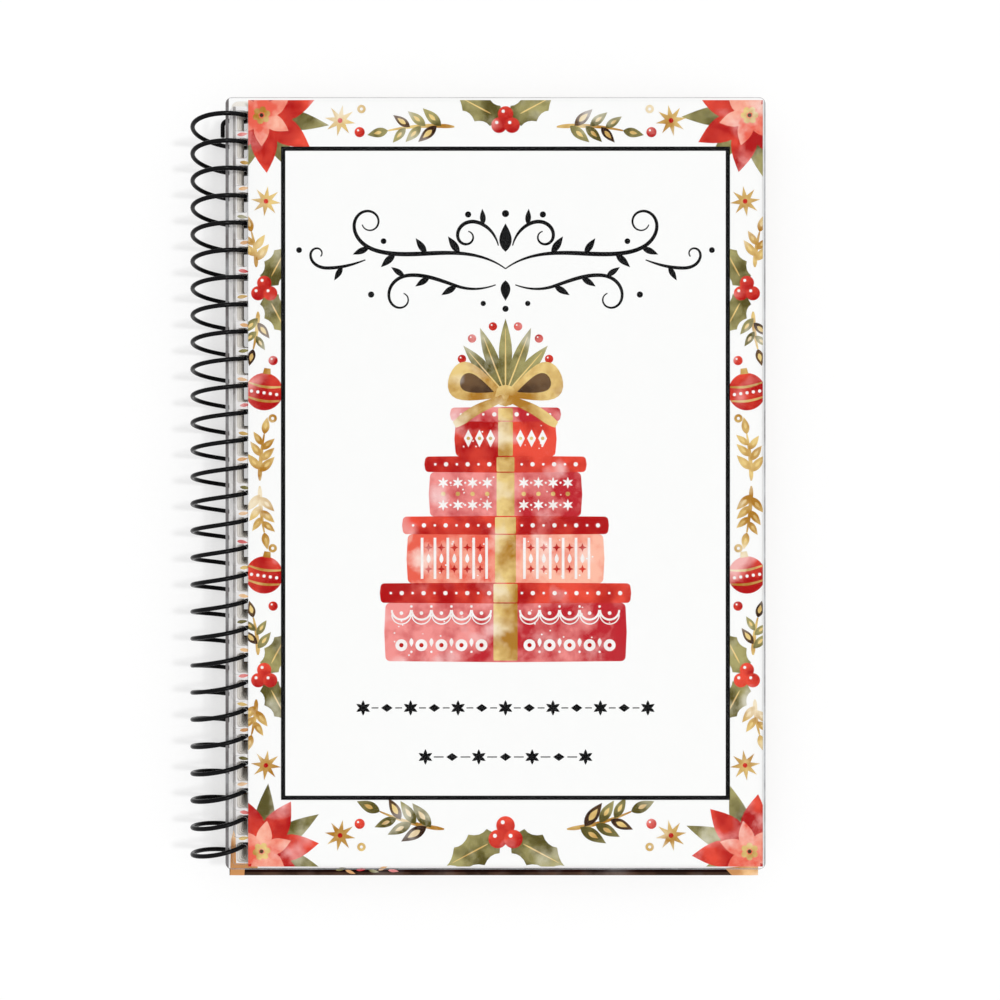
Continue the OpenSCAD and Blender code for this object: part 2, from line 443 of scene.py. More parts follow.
def stroke(path, widest, least, peak=0.5, tone=0.5, rim=0.0):
    """A pen stroke along a path, thin at its ends and widest at the peak share of its length."""
    left, right = [], []
    last = len(path) - 1
    for s, (x, y) in enumerate(path):
        (x0, y0), (x1, y1) = path[max(s - 1, 0)], path[min(s + 1, last)]
        size = math.hypot(x1 - x0, y1 - y0)
        across = ((y0 - y1) / size, (x1 - x0) / size)
        share = s / last
        swell = share / peak if share < peak else (1 - share) / (1 - peak)
        half = (least + (widest - least) * math.sin(math.pi / 2 * swell)) / 2
        left.append((x + across[0] * half, y + across[1] * half))
        right.append((x - across[0] * half, y - across[1] * half))
    faces = [[s, s + 1, last + s + 2, last + s + 1] for s in range(last)]
    return Shape(left + right, faces, tone, rim)


def fading(start, end, first, last):
    """A tone that runs from its first value at the start point to its last at the end point."""
    dx, dy = end[0] - start[0], end[1] - start[1]
    size = dx * dx + dy * dy

    def tone(x, y):
        share = ((x - start[0]) * dx + (y - start[1]) * dy) / size
        return first + (last - first) * min(max(share, 0.0), 1.0)
    return tone


def band(x0, y0, x1, y1, round_r, bulge=0.0):
    """A box with round corners whose sides swell a little, as a hand-drawn one does."""
    middle_x, middle_y = (x0 + x1) / 2, (y0 + y1) / 2
    points = []
    for x, y, start, swollen in (
        (x1 - round_r, y1 - round_r, 0, (middle_x, y1 + bulge)),
        (x0 + round_r, y1 - round_r, 90, (x0 - bulge, middle_y)),
        (x0 + round_r, y0 + round_r, 180, (middle_x, y0 - bulge)),
        (x1 - round_r, y0 + round_r, 270, (x1 + bulge, middle_y)),
    ):
        points += arc(x, y, round_r, start, start + 90, 5)
        if bulge:
            points.append(swollen)
    return points


# Shader making


def socket_group(name, inputs, outputs):
    """A new node group with named sockets, and its input and output nodes."""
    group = bpy.data.node_groups.new(name, "ShaderNodeTree")
    for label, kind, default in inputs:
        made = group.interface.new_socket(label, in_out="INPUT", socket_type="NodeSocket" + kind)
        made.default_value = default
    for label, kind in outputs:
        group.interface.new_socket(label, in_out="OUTPUT", socket_type="NodeSocket" + kind)
    return group, group.nodes.new("NodeGroupInput").outputs, group.nodes.new("NodeGroupOutput").inputs


def feed(tree, socket, value):
    """Links a socket to an input, or sets the input to a number or a colour."""
    if isinstance(value, bpy.types.NodeSocket):
        tree.links.new(value, socket)
    elif isinstance(value, (int, float)):
        socket.default_value = value
    else:
        socket.default_value = (*value[:3], 1.0)


def maths(tree, operation, first, second=0.0, clamp=False, third=0.0):
    """A Math node on sockets or numbers, and its result."""
    made = tree.nodes.new("ShaderNodeMath")
    made.operation = operation
    made.use_clamp = clamp
    for socket, value in zip(made.inputs, (first, second, third)):
        feed(tree, socket, value)
    return made.outputs[0]


def mixed(tree, share, first, second):
    """A colour mix of two sockets or colours by a socket or number, and its result."""
    made = tree.nodes.new("ShaderNodeMix")
    made.data_type = "RGBA"
    # The inputs of a colour mix are its factor, 0, and its colours, 6 and 7
    for place, value in ((0, share), (6, first), (7, second)):
        feed(tree, made.inputs[place], value)
    return made.outputs[2]


def blended(tree, share, first, second):
    """A mix of two shaders by a socket, and its result."""
    made = tree.nodes.new("ShaderNodeMixShader")
    for socket, value in zip(made.inputs, (share, first, second)):
        feed(tree, socket, value)
    return made.outputs[0]


def noise(tree, place, scale, detail=3.0, roughness=0.6):
    """A noise texture at a place, and its value."""
    made = tree.nodes.new("ShaderNodeTexNoise")
    for label, value in (("Vector", place), ("Scale", scale), ("Detail", detail), ("Roughness", roughness)):
        feed(tree, made.inputs[label], value)
    return made.outputs[0]


def object_place(tree):
    return tree.nodes.new("ShaderNodeTexCoord").outputs["Object"]


def paper_group():
    """Fibres and tooth of paper: a slightly uneven colour, an uneven shine and a height."""
    group, inner, outer = socket_group(
        "Paper fibres",
        [("Colour", "Color", (1, 1, 1, 1)), ("Fibre colour", "Color", (0.8, 0.8, 0.8, 1)),
         ("Fibre share", "Float", 0.1), ("Scale", "Float", 900.0)],
        [("Colour", "Color"), ("Roughness", "Float"), ("Height", "Float")],
    )
    place = object_place(group)
    stretch = group.nodes.new("ShaderNodeMapping")
    stretch.inputs["Scale"].default_value = (1.0, 0.22, 1.0)
    group.links.new(place, stretch.inputs["Vector"])
    cloud_scale, cloud_share, contrast = 0.05, 0.4, 5.0
    least_roughness, uneven_roughness = 0.6, 0.22
    fibre = noise(group, stretch.outputs[0], inner["Scale"], detail=6.0, roughness=0.7)
    cloud = noise(group, place, maths(group, "MULTIPLY", inner["Scale"], cloud_scale), detail=2.0)
    strand = maths(group, "SUBTRACT", fibre, 0.5, True)
    strand = maths(group, "MULTIPLY_ADD", strand, contrast, third=0.5)
    strand = maths(group, "ADD", strand, maths(group, "MULTIPLY", cloud, cloud_share), True)
    mask = maths(group, "MULTIPLY", strand, inner["Fibre share"], True)
    feed(group, outer["Colour"], mixed(group, mask, inner["Colour"], inner["Fibre colour"]))
    rough = maths(group, "MULTIPLY", fibre, uneven_roughness)
    feed(group, outer["Roughness"], maths(group, "ADD", rough, least_roughness, True))
    feed(group, outer["Height"], fibre)
    return group


def wash_group():
    """Watercolour: a cloudy wash between two tones, pale blooms, and pigment gathered at the rims."""
    group, inner, outer = socket_group(
        "Watercolour wash",
        [("Light", "Color", (1, 1, 1, 1)), ("Deep", "Color", (0.5, 0.5, 0.5, 1)),
         ("Scale", "Float", 160.0), ("Rim share", "Float", 0.6), ("Bloom share", "Float", 0.7)],
        [("Colour", "Color"), ("Height", "Float")],
    )
    place = object_place(group)

    def from_mesh(label):
        made = group.nodes.new("ShaderNodeAttribute")
        made.attribute_name = label
        return made.outputs["Fac"]

    def uneven(scale_share, detail, roughness):
        return noise(group, place, maths(group, "MULTIPLY", inner["Scale"], scale_share), detail, roughness)

    def swing(value, strength):
        return maths(group, "MULTIPLY", maths(group, "SUBTRACT", value, 0.5), strength)

    cloud_strength, grain_strength, paleness = 3.4, 0.5, 0.62
    bloom_start, bloom_contrast = 0.52, 7.0
    cloud = uneven(scale_share=1.0, detail=3.0, roughness=0.55)
    grain = uneven(scale_share=9.0, detail=4.0, roughness=0.7)
    patch = uneven(scale_share=0.7, detail=2.0, roughness=0.5)
    wash = maths(group, "ADD", swing(cloud, cloud_strength), from_mesh("tone"))
    wash = maths(group, "ADD", wash, swing(grain, grain_strength), True)
    body = mixed(group, wash, inner["Light"], inner["Deep"])
    pale = mixed(group, paleness, inner["Light"], (1, 1, 1))
    bloom = maths(group, "SUBTRACT", patch, bloom_start, True)
    bloom = maths(group, "MULTIPLY", bloom, bloom_contrast, True)
    bloom = maths(group, "MULTIPLY", bloom, maths(group, "SUBTRACT", 1.0, wash, True), True)
    bloom = maths(group, "MULTIPLY", bloom, inner["Bloom share"], True)
    edge = maths(group, "MULTIPLY", from_mesh("rim"), inner["Rim share"], True)
    feed(group, outer["Colour"], mixed(group, edge, mixed(group, bloom, body, pale), inner["Deep"]))
    feed(group, outer["Height"], grain)
    return group


def painted_edge_shade_group():
    """A mask for a clear sheet's cut edges: its side faces, and a painted shade line along its outline."""
    group, inner, outer = socket_group(
        "Cut edge",
        [("Low", "Vector", (0, 0, 0)), ("High", "Vector", (1, 1, 1)), ("Line", "Float", 0.0003),
         ("Left width", "Float", 1.0), ("Left strength", "Float", 1.0)],
        [("Mask", "Float")],
    )

    def split(socket):
        made = group.nodes.new("ShaderNodeSeparateXYZ")
        group.links.new(socket, made.inputs[0])
        return made.outputs

    coords = group.nodes.new("ShaderNodeTexCoord").outputs
    sockets = (coords["Object"], coords["Normal"], inner["Low"], inner["High"])
    place, normal, low, high = (split(socket) for socket in sockets)
    mask = maths(group, "LESS_THAN", maths(group, "ABSOLUTE", normal[2]), 0.5)
    # The painted shade line is half as wide along the foot and the head, weaker along the foot and faint
    # along the head, which is lit most
    for near, far, width, strength in (
        (place[0], low[0], inner["Left width"], inner["Left strength"]), (high[0], place[0], 1.0, 1.0),
        (place[1], low[1], 0.5, 0.55), (high[1], place[1], 0.5, 0.15),
    ):
        distance = maths(group, "SUBTRACT", near, far)
        line = maths(group, "LESS_THAN", distance, maths(group, "MULTIPLY", inner["Line"], width))
        mask = maths(group, "MAXIMUM", mask, maths(group, "MULTIPLY", line, strength))
    feed(group, outer["Mask"], mask)
    return group


GROUPS = {}


def placed_group(tree, maker, **values):
    """The outputs of a node of the shared group that maker builds, with this material's own values."""
    if maker not in GROUPS:
        GROUPS[maker] = maker()
    made = tree.nodes.new("ShaderNodeGroup")
    made.node_tree = GROUPS[maker]
    for label, value in values.items():
        made.inputs[label.replace("_", " ")].default_value = value
    return made.outputs


def new_material(name, shine, roughness=0.5):
    """A material with a Principled shader, its node tree and that shader."""
    material = bpy.data.materials.new(name)
    material.use_nodes = True
    shader = material.node_tree.nodes["Principled BSDF"]
    shader.inputs["Roughness"].default_value = roughness
    shader.inputs["Specular IOR Level"].default_value = shine
    return material, material.node_tree, shader


def bump(tree, shader, height, strength, distance):
    made = tree.nodes.new("ShaderNodeBump")
    for label, value in (("Strength", strength), ("Distance", distance), ("Height", height)):
        feed(tree, made.inputs[label], value)
    feed(tree, shader.inputs["Normal"], made.outputs[0])


def show(tree, result):
    """Sends a shader to the surface of the material."""
    feed(tree, tree.nodes["Material Output"].inputs["Surface"], result)


def paper_material(name, base, fibre, share, scale=900.0, depth=0.01 * MM):
    material, tree, shader = new_material(name, shine=0.1)
    made = placed_group(
        tree, paper_group, Colour=(*base, 1), Fibre_colour=(*fibre, 1), Fibre_share=share, Scale=scale
    )
    feed(tree, shader.inputs["Base Color"], made["Colour"])
    feed(tree, shader.inputs["Roughness"], made["Roughness"])
    bump(tree, shader, made["Height"], strength=0.35, distance=depth)
    return material


def wash_material(name, light, deep, scale=160.0, rim=0.6, bloom=0.7, tooth=0.2):
    material, tree, shader = new_material(name, shine=0.05, roughness=0.6)
    made = placed_group(
        tree, wash_group, Light=(*light, 1), Deep=(*deep, 1), Scale=scale, Rim_share=rim, Bloom_share=bloom
    )
    feed(tree, shader.inputs["Base Color"], made["Colour"])
    bump(tree, shader, made["Height"], strength=tooth, distance=0.005 * MM)
    return material


def film_material(name, node, settings, haze, edge_shade_share, spine=(1.0, 1.0)):
    """Clear film: it lets what is behind it through, mirrors a little, and shows its cut edges with a painted
    shade line.

    The spine pair says how much wider and stronger its painted shade line at the spine is, where it stands in
    for the shadow beside the stacked sheets.
    """
    material, tree, shader = new_material(name, shine=0.4, roughness=0.4)
    low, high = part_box(node)
    edges = placed_group(
        tree, painted_edge_shade_group, Low=low, High=high, Line=settings.edge_line,
        Left_width=spine[0], Left_strength=spine[1],
    )["Mask"]
    streak = noise(tree, object_place(tree), scale=220.0)
    # The part of the mask above 1 is the spine's painted shade line, whose colour the streaks don't lighten
    dark = maths(tree, "SUBTRACT", edges, 1.0, True)
    paler = maths(tree, "SUBTRACT", maths(tree, "MULTIPLY", streak, 0.8), dark, True)
    feed(tree, shader.inputs["Base Color"], mixed(tree, paler, settings.edge_colour, settings.weld_colour))
    clear = tree.nodes.new("ShaderNodeBsdfTransparent")
    clear.inputs["Color"].default_value = CLEARNESS
    mirror = tree.nodes.new("ShaderNodeBsdfGlossy")
    mirror.inputs["Roughness"].default_value = FILM_ROUGHNESS
    fresnel = tree.nodes.new("ShaderNodeFresnel")
    fresnel.inputs["IOR"].default_value = FILM_IOR
    # The inside of the film mirrors nothing, or light would be caught between its two faces
    facing = maths(tree, "SUBTRACT", 1.0, tree.nodes.new("ShaderNodeNewGeometry").outputs["Backfacing"])
    mirrors = maths(tree, "MULTIPLY", fresnel.outputs[0], facing)
    gloss = blended(tree, mirrors, clear.outputs[0], mirror.outputs[0])
    # The edge mask paints shade along the outline, and tints the side faces
    cut = maths(tree, "MULTIPLY", edges, edge_shade_share)
    shown = maths(tree, "ADD", cut, maths(tree, "MULTIPLY", streak, haze), True)
    show(tree, blended(tree, shown, gloss, shader.outputs[0]))
    return material


def dress(node, material):
    """Gives a node of the frame a finished material."""
    NODES[node].material_slots[0].material = material


INKS = {}


def ink(name):
    """The ink material of that name, made once."""
    if name not in INKS:
        inks = bpy.context.scene.book_ink
        if name == "black":
            looks = dict(light=inks.black, deep=inks.black, scale=400.0, rim=0.0, bloom=0.0, tooth=0.0)
        elif name == "white":
            looks = dict(light=(0.97, 0.96, 0.95), deep=(0.90, 0.83, 0.80), scale=300.0, rim=0.0, bloom=0.0)
        else:
            looks = dict(light=getattr(inks, name + "_light"), deep=getattr(inks, name + "_deep"),
                         bloom=0.1 if name in ("umber", "maroon") else 0.7)
        INKS[name] = wash_material(name + "_ink", **looks)
    return INKS[name]


# The coil


def coil_stations(settings):
    """The wire's centre line: a helix whose ends are crimped back along it."""
    low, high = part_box("coil")
    wire_r = settings.wire_d / 2
    radius = (high.x - low.x) / 2 - wire_r
    axis = Vector(((low.x + high.x) / 2, (low.y + high.y) / 2, low.z + wire_r + radius))
    slope = math.atan(settings.lead / (math.tau * radius))
    total = settings.turns * settings.rings
    crimp_rings = 10

    def helix(step):
        a = math.tau * step / settings.rings - math.pi / 2
        side = Vector((math.cos(a), 0, math.sin(a)))
        point = axis + side * radius
        point.y += settings.lead * (settings.turns / 2 - step / settings.rings)
        along = Vector((-math.sin(a) * math.cos(slope), -math.sin(slope), math.cos(a) * math.cos(slope)))
        return point, along, side

    def crimp(start, side, heading):
        made = []
        for step in range(1, crimp_rings + 1):
            a = heading + (math.pi / 2 + slope) * step / crimp_rings
            shift = Vector((math.sin(a) - math.sin(heading), math.cos(heading) - math.cos(a), 0))
            made.append((start + shift * settings.crimp_r, Vector((math.cos(a), math.sin(a), 0)), side))
        point, along, side = made[-1]
        return made + [(point + along * settings.crimp_l, along, side)]

    # Both ends of the helix lie at its foot, so they share one side direction
    start, _, down = helix(0)
    top = crimp(start, down, math.pi - slope)
    foot = crimp(helix(total)[0], down, -slope)
    return (
        [(point, -along, side) for point, along, side in reversed(top)]
        + [helix(step) for step in range(total + 1)]
        + foot
    )


def wire_material(settings):
    """Glossy black coating with a faint unevenness and fine scuffs."""
    material, tree, shader = new_material("black_coating", shine=0.1)
    scuff_start, scuff_contrast = 0.55, 3.0
    least_roughness, uneven_roughness = 0.14, 0.22
    place = object_place(tree)
    flow = noise(tree, place, scale=700.0)
    scuff = noise(tree, place, scale=2600.0, detail=5.0, roughness=0.75)
    scuff = maths(tree, "SUBTRACT", scuff, scuff_start, True)
    scuff = maths(tree, "MULTIPLY", scuff, scuff_contrast, True)
    feed(tree, shader.inputs["Base Color"], mixed(tree, scuff, settings.coating, settings.scuffs))
    rough = maths(tree, "MULTIPLY_ADD", flow, uneven_roughness, third=least_roughness)
    feed(tree, shader.inputs["Roughness"], rough)
    bump(tree, shader, flow, strength=0.15, distance=0.02 * MM)
    return material


class BOOK_OT_coil(bpy.types.Operator):
    """Wind the black wire coil with its crimped ends"""

    bl_idname = "book.coil"
    bl_label = "Wire coil"

    def execute(self, context):
        settings = context.scene.book_coil
        mesh = tube_mesh("coil_wire", coil_stations(settings), settings.wire_d / 2, settings.sides)
        piece = add_piece("coil_wire", mesh, BODY_OF["coil"], wire_material(settings))
        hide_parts("coil")
        return {"FINISHED"}


# The clear sheet and the pockets


class BOOK_OT_clear_sheet(bpy.types.Operator):
    """Finish the clear front sheet"""

    bl_idname = "book.clear_sheet"
    bl_label = "Clear front sheet"

    def execute(self, context):
        settings = context.scene.book_film
        # The wider, stronger line at the spine is painted shade beside the stacked sheets
        spine = (settings.spine_shade_width, settings.spine_shade_strength)
        dress("clear_sheet", film_material(
            "clear_film", "clear_sheet", settings, haze=0.015, edge_shade_share=settings.edge_shade_share, spine=spine
        ))
        return {"FINISHED"}


def weld_bars(settings, width, height):
    """The slanted bars pressed into a pocket's rim along its sides and foot."""
    across, along, pitch, rim = (
        size / MM for size in (settings.bar_width, settings.bar_length, settings.bar_pitch, settings.weld_rim)
    )
    slanted = turned(box(-along / 2, -across / 2, along / 2, across / 2), angle=45)
    side_start, foot_start = rim * 1.5, rim * 1.2
    shapes = []
    for x in (rim / 2, width - rim / 2):
        for s in range(int((height - 2 * rim) / pitch)):
            shapes.append(Shape(turned(slanted, x, side_start + pitch * s)))
    for s in range(int((width - 2 * rim) / pitch)):
        shapes.append(Shape(turned(slanted, foot_start + pitch * s, rim / 2)))
    return shapes


class BOOK_OT_pockets(bpy.types.Operator):
    """Finish the clear pockets and press the weld into their rims"""

    bl_idname = "book.pockets"
    bl_label = "Card pockets"

    def execute(self, context):
        settings = context.scene.book_film
        weld, tree, shader = new_material("pressed_weld", shine=0.4, roughness=0.35)
        shade = noise(tree, object_place(tree), scale=1500.0)
        tint = mixed(tree, shade, settings.weld_colour, settings.edge_colour)
        feed(tree, shader.inputs["Base Color"], tint)
        shader.inputs["Alpha"].default_value = 0.55
        for node in POCKETS:
            # The pockets' cut edges carry the same painted shade line, a little fainter
            dress(node, film_material(
                node + "_film", node, settings, haze=0.03, edge_shade_share=settings.edge_shade_share * 0.8
            ))
            low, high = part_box(node)
            bars = weld_bars(settings, *flat_size(low, high))
            mesh = ink_mesh(node + "_weld", bars, low, high.z, settings.bar_height)
            add_piece(node + "_weld", mesh, BODY_OF[node], weld)
        return {"FINISHED"}


# The printed front card


class Layout:
    """Collects printed shapes by layer and ink."""

    def __init__(self, dice):
        self.laid = {}
        self.dice = dice

    def put(self, layer, ink_name, *shapes):
        self.laid.setdefault((layer, ink_name), []).extend(shapes)

    def add(self, layer, ink_name, outline, tone=None, rim=0.22):
        """Adds an outline. With no tone of its own it fades from its first point to its tip."""
        if tone is None:
            tip = max(outline, key=lambda p: math.dist(p, outline[0]))
            shade = self.dice.uniform(-0.12, 0.12)
            tone = fading(outline[0], tip, 0.85 + shade, 0.25 + shade)
        self.put(layer, ink_name, Shape(outline, tone=tone, rim=rim))

    def lay(self, printed, stem):
        for (layer, ink_name), shapes in sorted(self.laid.items(), key=lambda item: item[0]):
            printed.lay(f"{stem}_{ink_name}_{layer}", layer, shapes, ink(ink_name))


def sprig(start, heading, size, bend, pairs, leaf_size):
    """A bent stem and the outlines of its pairs of leaves and its end leaf."""
    width, spread = 0.95, 42
    path = sweep_path(start, heading, [(size, bend, bend)])
    leaves = []
    for number in range(pairs * 2):
        share = 0.2 + 0.72 * (number // 2 + 0.35 * (number % 2)) / pairs
        x, y, along = place_on(path, int(share * (len(path) - 1)))
        reach = leaf_size * (1.1 - 0.4 * share)
        leaves.append(turned(petal(reach, reach * 0.4), x, y, along + (number % 2 * 2 - 1) * spread))
    along = place_on(path, len(path) - 2)[2]
    leaves.append(turned(petal(leaf_size * 0.85, leaf_size * 0.38), *path[-1], along))
    return stroke(path, width, width * 0.35, peak=0.15, tone=0.55, rim=0.12), leaves


def middle_part(outline, scale):
    """A smaller copy of an outline, about its middle."""
    x = sum(p[0] for p in outline) / len(outline)
    y = sum(p[1] for p in outline) / len(outline)
    return [(x + (px - x) * scale, y + (py - y) * scale) for px, py in outline]


def poinsettia(art, x, y, size, turn):
    # Ink, count, first angle, length and width in sizes, fullness and rim, from the lowest layer up
    for layer, (ink_name, count, first, reach, wide, early, rim) in enumerate((
        ("olive", 7, 25, 1.18, 0.36, 0.8, 0.22),
        ("red", 7, 0, 1.0, 0.46, 0.9, 0.3),
        ("salmon", 6, 12, 0.54, 0.27, 0.9, 0.16),
    )):
        for s in range(count):
            leaf = turned(petal(size * reach, size * wide, early), x, y, turn + first + s * 360 / count)
            art.add(layer, ink_name, leaf, rim=rim)
    for s in range(6):
        art.add(3, "gold", disc(*away(x, y, size * 0.1, s * 60 + turn), size * 0.055, 12), 0.4)
    art.add(3, "brown", disc(x, y, size * 0.035, 12), 0.6, 0.0)


def leafy(art, start, heading, size, bend, ink_name, leaf_size, pairs):
    """A sprig whose leaves have pale middles. Every third leaf of an olive one is dark."""
    stem, leaves = sprig(start, heading, size, bend, pairs, leaf_size)
    art.put(0, "gold", stem)
    for number, outline in enumerate(leaves):
        dark = ink_name == "olive" and number % 3 == 1
        art.add(1, "brown" if dark else ink_name, outline)
        art.add(2, "gold", middle_part(outline, 0.5 if dark else 0.38), 0.1, 0.0)


def ring_dot(art, x, y, size):
    art.put(2, "gold", hoop(disc(x, y, size), disc(x, y, size * 0.38), art.dice.uniform(0.3, 0.8)))


def berry(art, x, y, size):
    shade = fading((x - size, y + size), (x + size, y - size), 0.1, 1.0)
    art.add(2, "red", disc(x, y, size), shade, 0.2)
    art.put(3, "white", dot(x - size * 0.3, y + size * 0.35, size * 0.22, 10))


def holly_pair(art, x, y, turn, size):
    for side in (-1, 1):
        slant = turn + side * 62
        art.add(1, "olive", turned(holly(size, size * 0.52), x, y, slant), rim=0.25)
        # The vein starts clear of the berries
        vein = turned([(size * share / 10, 0.0) for share in range(3, 10)], x, y, slant)
        art.put(2, "gold", stroke(vein, 0.34, 0.1, peak=0.2, tone=0.2))
    for a in (90, 210, 330):
        berry(art, *away(x, y, size * 0.135, a), size * 0.14)


def bauble(art, x, y, size, turn):
    shade = fading((x - size, y + size), (x + size, y - size), 0.05, 1.0)
    art.add(1, "red", disc(x, y, size, 32), shade, 0.3)
    for share in (-0.38, 0.38):
        half = math.sqrt(1 - share * share) * size * 0.96
        path = [
            (-half + half * s / 8, share * size - 0.12 * size * math.sin(math.pi * s / 16)) for s in range(17)
        ]
        art.put(2, "gold", stroke(turned(path, x, y, turn), 0.55, 0.35, tone=0.4))
    for s in range(-2, 3):
        bead = turned(disc(size * s * 0.34, -0.06 * size, size * 0.09, 10), x, y, turn)
        art.put(2, "white", Shape(bead))
    cap = [(-0.9, size - 0.2), (0.9, size - 0.2), (0.7, size + 1.1), (-0.7, size + 1.1)]
    art.add(2, "gold", turned(cap, x, y, turn), 0.7, 0.12)


def spark(art, x, y, size, turn):
    """An eight-pointed star with a red heart."""
    art.add(2, "gold", turned(star(8, size, size * 0.4), x, y, turn), 0.45, 0.14)
    art.put(3, "red", dot(x, y, size * 0.16, 12, tone=0.7))


def border_motifs(width, height, dice):
    """Motifs round the card's margin, mirrored from side to side and from head to foot."""
    art = Layout(dice)
    across, along = width / 2, height / 2
    for turn, (x_side, y_side) in zip((8, 30, 18, 2), ((-1, -1), (1, -1), (-1, 1), (1, 1))):
        poinsettia(art, across + x_side * (across - 3.0), along + y_side * (along - 3.4), 13.0, turn)
    # Along the head and the foot, out from the middle
    for y, up, size in ((height - 4.8, 1, 1.0), (7.2, -1, 1.2)):
        holly_pair(art, across, y, 90 * up, 12.5 * size)
        for side in (-1, 1):
            start = (across + side * 11.5 * size, y - up * 1.2)
            leafy(art, start, 90 - side * 84, 15.0, side * up * -1.2, "olive", 5.6 * size, 3)
            ring_dot(art, across + side * 32.4, y + up * 2.8, 0.95)
            berry(art, across + side * 32.8, y - up * 2.4, 1.15)
            spark(art, across + side * 37.2, y + up * 0.2, 3.5, 10 * side)
    # Along both sides, from the middle up and down
    for x, side in ((3.6, -1), (width - 3.6, 1)):
        for up in (-1, 1):
            leafy(art, (x + side * 1.0, along + up * 0.6), 90 * up, 10.5, side * up * 1.0, "gold", 4.6, 3)
            ring_dot(art, x - side * 1.9, along + up * 14.6, 0.95)
            bauble(art, x, along + up * 20.6, 4.2, side * 8)
            berry(art, x - side * 2.0, along + up * 27.6, 1.05)
            leafy(art, (x + side * 1.4, along + up * 38.6), -90 * up, 8.5, side * up * 1.6, "olive", 4.6, 2)
            holly_pair(art, x, along + up * 43.5, 90 + side * 90, 11.5)
            leafy(art, (x + side * 1.8, along + up * 48.6), 90 * up, 8.0, side * up * -1.8, "gold", 4.6, 2)
            spark(art, x - side * 0.4, along + up * 63.4, 3.4, 7 * side)
    return art


def flourish(span):
    """A symmetrical pen flourish with leaves and dots, about the origin."""
    # The lines and dots below are drawn for a span of 88 mm
    unit = span / 88
    # Start, heading, parts, width and place of the widest point, then leaves as (share, turn, size)
    lines = (
        ((0.0, -2.6), 38, [(15, -4.2, -1.0), (13, -1.0, 2.6), (9, 3.0, 12), (15, 13, 34)], 1.0, 0.40,
         ((0.22, 52, 4.6), (0.36, 58, 4.2), (0.50, -48, 4.4), (0.62, -52, 4.0))),
        ((2.2, -6.2), -22, [(9, 4.0, 5.0), (11, 1.0, -5.0), (8, -9.0, -16), (8, -18, -40)], 0.85, 0.45,
         ((0.26, -50, 4.0), (0.44, -46, 3.8), (0.60, 52, 3.6))),
        ((1.6, 2.6), 78, [(7, -7.0, -9.0), (7, -12, -22), (7, -26, -44)], 0.85, 0.4, ((0.30, 58, 3.6),)),
        ((31.5, -0.6), -22, [(9, 1.5, 3.5), (5, 9.0, 24), (5, 30, 60)], 0.75, 0.4, ((0.30, -50, 3.6),)),
    )
    side_dots = ((8.4, 9.6, 0.7), (27.4, 3.6, 0.65), (46.4, 1.6, 0.65), (5.0, -10.4, 0.6), (30.2, -8.4, 0.7))
    shapes = []
    for start, heading, bends, widest, peak, leaves in lines:
        path = turned(sweep_path(start, heading, bends, 0.35), scale=unit)
        shapes += [stroke(path, widest, 0.26, peak), stroke(mirrored(path), widest, 0.26, 1 - peak)]
        for share, turn, size in leaves:
            x, y, along = place_on(path, int(share * (len(path) - 2)))
            leaf = turned(petal(size, size * 0.36), x, y, along + turn, unit)
            shapes += [Shape(leaf), Shape(mirrored(leaf))]
    for x, y, radius in side_dots:
        outline = turned(disc(x, y, radius, 16), scale=unit)
        shapes += [Shape(outline), Shape(mirrored(outline))]
    for size, wide, y, a in ((6.4, 2.8, 1.2, 90), (4.6, 2.2, -5.2, -90)):
        shapes.append(Shape(turned(petal(size, wide), 0, y, a)))
    return shapes + [dot(0, 9.8, 0.8, 16), dot(0, -11.6, 0.7, 16)]


def divider(span, places):
    """A row of small florets and diamonds on a thin rule, about the origin."""
    pitch, gap, half_rule = span / (places - 1), 1.9, 0.12
    shapes = []
    for s in range(places):
        x = pitch * s - span / 2
        shapes += [diamond(x, 0, 1.3, 0.9)] if s % 2 else floret(x, 0, 1.75, 0.8)
        if s < places - 1:
            shapes.append(Shape(box(x + gap, -half_rule, x + pitch - gap, half_rule)))
    return shapes


def both_ways(middle, first, pitch, count):
    """Side, number and place of each motif in the rows left and right of the ribbon."""
    for side in (-1, 1):
        for s in range(count):
            yield side, s, middle + side * (first + pitch * s)


def lace(art, middle, low, high, half):
    """Garlands with beads, and ring dots below them."""
    pitch, count = 4.5, 5
    for side, s, x in both_ways(middle, half + 2.7, pitch, count):
        for drop, wide in ((0.0, 0.46), (1.0, 0.26)):
            art.put(7, "white", stroke(arc(x, high - 0.2 - drop, pitch * 0.48, 180, 360, 14), wide, wide))
        art.put(7, "white", dot(x, high - 0.9, 0.42, 12), dot(x, low + 2.0, 1.35, 20))
        art.put(8, "red", dot(x, low + 2.0, 0.5, 12, tone=1.0))
        if s < count - 1:
            x += side * pitch / 2
            art.put(7, "white", dot(x, high + 0.6, 0.3, 10), dot(x, low + 0.5, 0.28, 10),
                    Shape(turned(petal(2.0, 0.9), x, low + 3.6, -90)))


def stripes(art, middle, low, high, half):
    """Upright stripes with small stars between them."""
    pitch, count = 2.9, 6
    for side, s, x in both_ways(middle, half + 1.9, pitch, count):
        art.put(7, "white", Shape(box(x - 0.3, low - 0.6, x + 0.3, high + 0.6)))
        if s < count - 1:
            between = x + side * pitch / 2
            for share in (0.2, 0.8):
                y = low + (high - low) * share
                art.put(7, "red", Shape(turned(star(4, 0.95, 0.38), between, y), tone=0.8))
            art.put(7, "white", Shape(turned(petal(2.2, 0.9), between, (low + high) / 2 - 1.1, 90)))


def florets(art, middle, low, high, half):
    """Two rows of six-leaved florets with beads between them."""
    pitch, count = 3.3, 4
    for side, s, x in both_ways(middle, half + 2.1, pitch, count):
        for y in (low + 1.0, high - 1.0):
            art.put(7, "white", *floret(x, y, 1.3, 0.5))
            if s < count - 1:
                art.put(7, "white", dot(x + side * pitch / 2, y, 0.26, 10))
        art.put(7, "gold", dot(x, (low + high) / 2, 0.5, 12, tone=0.2))


